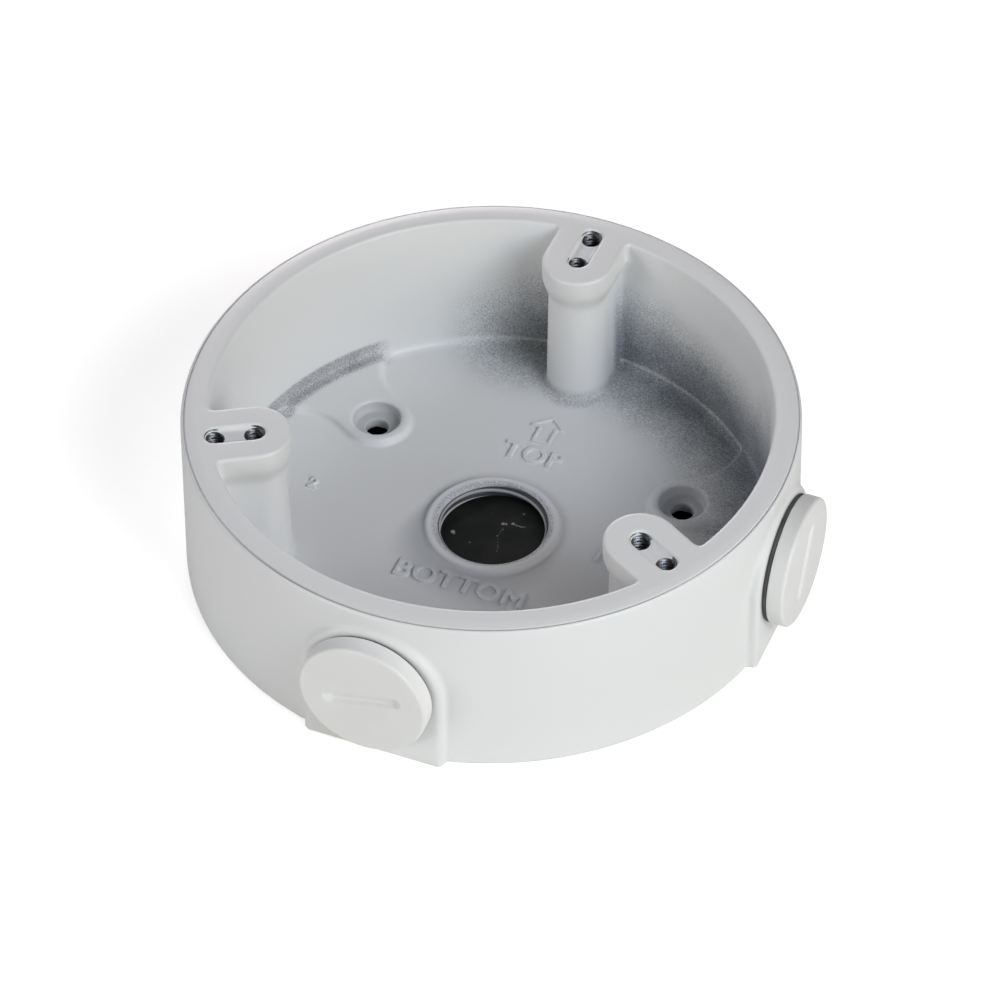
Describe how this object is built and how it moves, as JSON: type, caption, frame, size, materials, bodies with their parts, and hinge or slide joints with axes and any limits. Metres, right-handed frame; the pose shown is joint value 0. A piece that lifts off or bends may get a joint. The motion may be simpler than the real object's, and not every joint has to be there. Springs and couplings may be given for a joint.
{
  "type": "junction box",
  "caption": "Round white die-cast junction box, open at the front, with screw posts, mounting holes in its floor, a closed rear entry and threaded side entries with coin-slot plugs.",
  "frame": {"origin": "on the housing's axis, in the plane of its mounting face", "axes": "+Z out of the open front, +Y towards the post that is mounted uppermost, so -Y is the lower side entry and +X the right side entry"},
  "size_m": [0.1151, 0.1151, 0.033],
  "materials": {
    "white_powder_coat": "satin powder coat with a faint orange peel",
    "white_plug_coat": "satin powder coat",
    "black_gasket_rubber": "matt",
    "black_disc_rubber": "smooth, slightly glossy"
  },
  "bodies": {
    "box": {"housing": "white_powder_coat", "rear_blanking_disc": "black_disc_rubber"},
    "bottom_gasket": {"plug_gasket_bottom": "black_gasket_rubber"},
    "bottom_plug": {"side_plug_bottom": "white_plug_coat"},
    "right_gasket": {"plug_gasket_right": "black_gasket_rubber"},
    "right_plug": {"side_plug_right": "white_plug_coat"}
  },
  "joints": [
    {"name": "bottom_plug_travel", "type": "slide", "parent": "box", "child": "bottom_gasket", "axis": [0, -1, 0], "range_m": [0, 0.00817]},
    {"name": "bottom_plug_turn", "type": "hinge", "parent": "bottom_gasket", "child": "bottom_plug", "pos_m": [0, -0.055, 0.016], "axis": [0, -1, 0], "range_deg": [0, 1620]},
    {"name": "right_plug_travel", "type": "slide", "parent": "box", "child": "right_gasket", "axis": [1, 0, 0], "range_m": [0, 0.00817]},
    {"name": "right_plug_turn", "type": "hinge", "parent": "right_gasket", "child": "right_plug", "pos_m": [0.055, 0, 0.016], "axis": [1, 0, 0], "range_deg": [0, 1620]}
  ],
  "couplings": [
    {"joint": "bottom_plug_travel", "follows": "bottom_plug_turn", "m_per_rad": 0.00028871},
    {"joint": "right_plug_travel", "follows": "right_plug_turn", "m_per_rad": 0.00028871}
  ]
}
